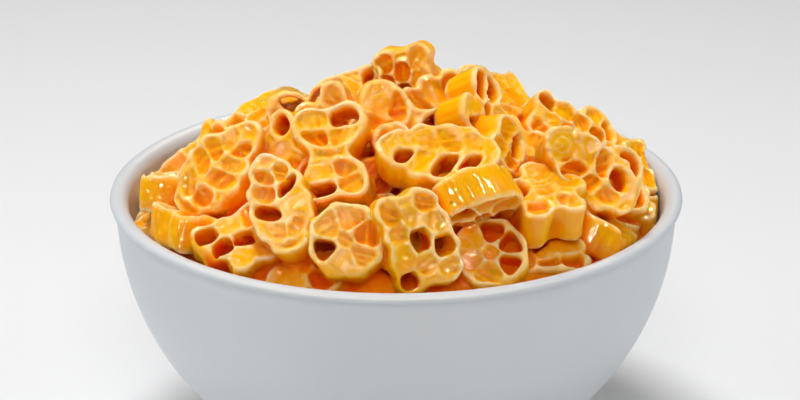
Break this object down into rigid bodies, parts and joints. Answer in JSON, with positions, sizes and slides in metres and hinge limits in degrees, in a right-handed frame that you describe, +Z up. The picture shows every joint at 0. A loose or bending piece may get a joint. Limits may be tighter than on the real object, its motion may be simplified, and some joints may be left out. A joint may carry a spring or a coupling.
{
  "type": "bowl of macaroni and cheese",
  "caption": "Round white bowl heaped with thick shaped macaroni coated in glossy orange cheese sauce, ready to eat.",
  "frame": {"origin": "centre of the bowl's foot, on the surface that the bowl stands on", "axes": "+Z up through the middle of the bowl; -Y towards the viewer of the shown side"},
  "size_m": [0.15, 0.15, 0.1126],
  "materials": {
    "bowl_glaze": "satin white glaze",
    "cheesy_pasta": "wet cheese sauce, satin to glossy"
  },
  "bodies": {
    "root": {"bowl": "bowl_glaze", "macaroni_heap": "cheesy_pasta"}
  },
  "joints": []
}
